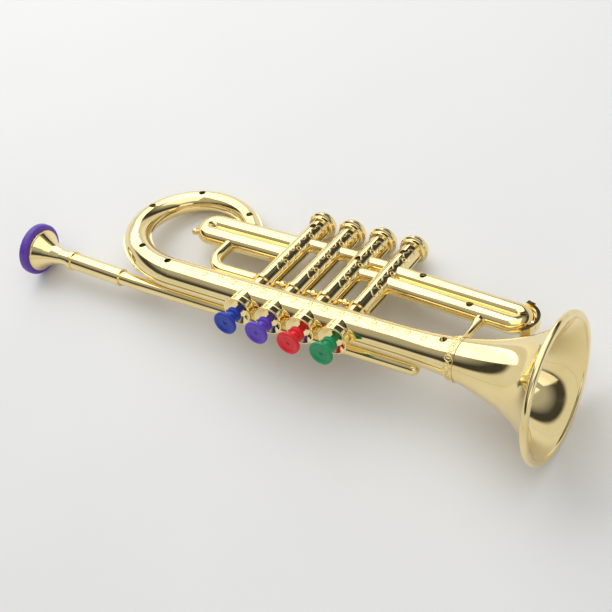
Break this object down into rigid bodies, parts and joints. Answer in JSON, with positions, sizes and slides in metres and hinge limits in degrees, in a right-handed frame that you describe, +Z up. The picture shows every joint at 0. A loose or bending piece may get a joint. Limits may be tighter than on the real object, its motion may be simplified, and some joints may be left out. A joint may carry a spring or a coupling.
{
  "type": "toy trumpet",
  "caption": "Gold plastic toy trumpet lying on its side, with sprung coloured keys, a looped tube, slides, a flared bell and a pull-out mouthpiece.",
  "frame": {"origin": "on the floor, under the middle of the trumpet's bounding box", "axes": "+Z up; +X from the mouthpiece to the bell; the keys are on the -Y side and the valve casings' far ends on the +Y side, as the trumpet lies on its bell rim, mouthpiece ring and first bottom cap"},
  "size_m": [0.369, 0.1262, 0.085],
  "materials": {
    "gold_plate": "mirror-bright vacuum-metallised pale gold on moulded plastic",
    "blue_plastic": "semi-gloss moulded",
    "purple_plastic": "semi-gloss moulded",
    "red_plastic": "semi-gloss moulded",
    "green_plastic": "semi-gloss moulded",
    "ring_plastic": "soft satin",
    "white_plastic": "plain moulded",
    "pad_rubber": "matt",
    "spring_steel": "bright drawn wire",
    "reed_brass": "rolled strip",
    "screw_steel": "dark plated"
  },
  "bodies": {
    "horn": {"bell": "gold_plate", "bell_ferrule": "gold_plate", "tube_shell_upper": "gold_plate", "tube_shell_lower": "gold_plate", "valve_shell_upper": "gold_plate", "valve_shell_lower": "gold_plate", "left_sleeve_outer": "gold_plate", "left_sleeve_inner": "gold_plate", "left_crook": "gold_plate", "third_crook": "gold_plate", "right_slide_upper": "gold_plate", "right_slide_lower": "gold_plate", "slide_guard": "gold_plate", "slide_brace": "gold_plate", "leadpipe": "gold_plate", "receiver": "gold_plate", "shell_screws": "screw_steel", "blue_spring": "spring_steel", "blue_reed_block": "white_plastic", "blue_reed": "reed_brass", "blue_top_cap": "gold_plate", "blue_bottom_cap": "gold_plate", "purple_spring": "spring_steel", "purple_reed_block": "white_plastic", "purple_reed": "reed_brass", "purple_top_cap": "gold_plate", "purple_bottom_cap": "gold_plate", "red_spring": "spring_steel", "red_reed_block": "white_plastic", "red_reed": "reed_brass", "red_top_cap": "gold_plate", "red_bottom_cap": "gold_plate", "green_spring": "spring_steel", "green_reed_block": "white_plastic", "green_reed": "reed_brass", "green_top_cap": "gold_plate", "green_bottom_cap": "gold_plate"},
    "mouthpiece": {"mouthpiece_cup": "gold_plate", "mouthpiece_ring": "ring_plastic"},
    "blue_valve": {"blue_key": "blue_plastic", "blue_plunger": "white_plastic", "blue_pad": "pad_rubber"},
    "purple_valve": {"purple_key": "purple_plastic", "purple_plunger": "white_plastic", "purple_pad": "pad_rubber"},
    "red_valve": {"red_key": "red_plastic", "red_plunger": "white_plastic", "red_pad": "pad_rubber"},
    "green_valve": {"green_key": "green_plastic", "green_plunger": "white_plastic", "green_pad": "pad_rubber"}
  },
  "joints": [
    {"name": "blue_key_press", "type": "slide", "parent": "horn", "child": "blue_valve", "axis": [0.0125, 0.9475, -0.3194], "range_m": [0, 0.0038], "stiffness_N_per_m": 220, "springref_m": -0.002, "deforming": ["blue_spring"]},
    {"name": "purple_key_press", "type": "slide", "parent": "horn", "child": "purple_valve", "axis": [0.0125, 0.9475, -0.3194], "range_m": [0, 0.0038], "stiffness_N_per_m": 220, "springref_m": -0.002, "deforming": ["purple_spring"]},
    {"name": "red_key_press", "type": "slide", "parent": "horn", "child": "red_valve", "axis": [0.0125, 0.9475, -0.3194], "range_m": [0, 0.0038], "stiffness_N_per_m": 220, "springref_m": -0.002, "deforming": ["red_spring"]},
    {"name": "green_key_press", "type": "slide", "parent": "horn", "child": "green_valve", "axis": [0.0125, 0.9475, -0.3194], "range_m": [0, 0.0038], "stiffness_N_per_m": 220, "springref_m": -0.002, "deforming": ["green_spring"]},
    {"name": "mouthpiece_pull", "type": "slide", "parent": "horn", "child": "mouthpiece", "axis": [-0.9999, 0.0123, -0.0028], "range_m": [0, 0.024]}
  ]
}
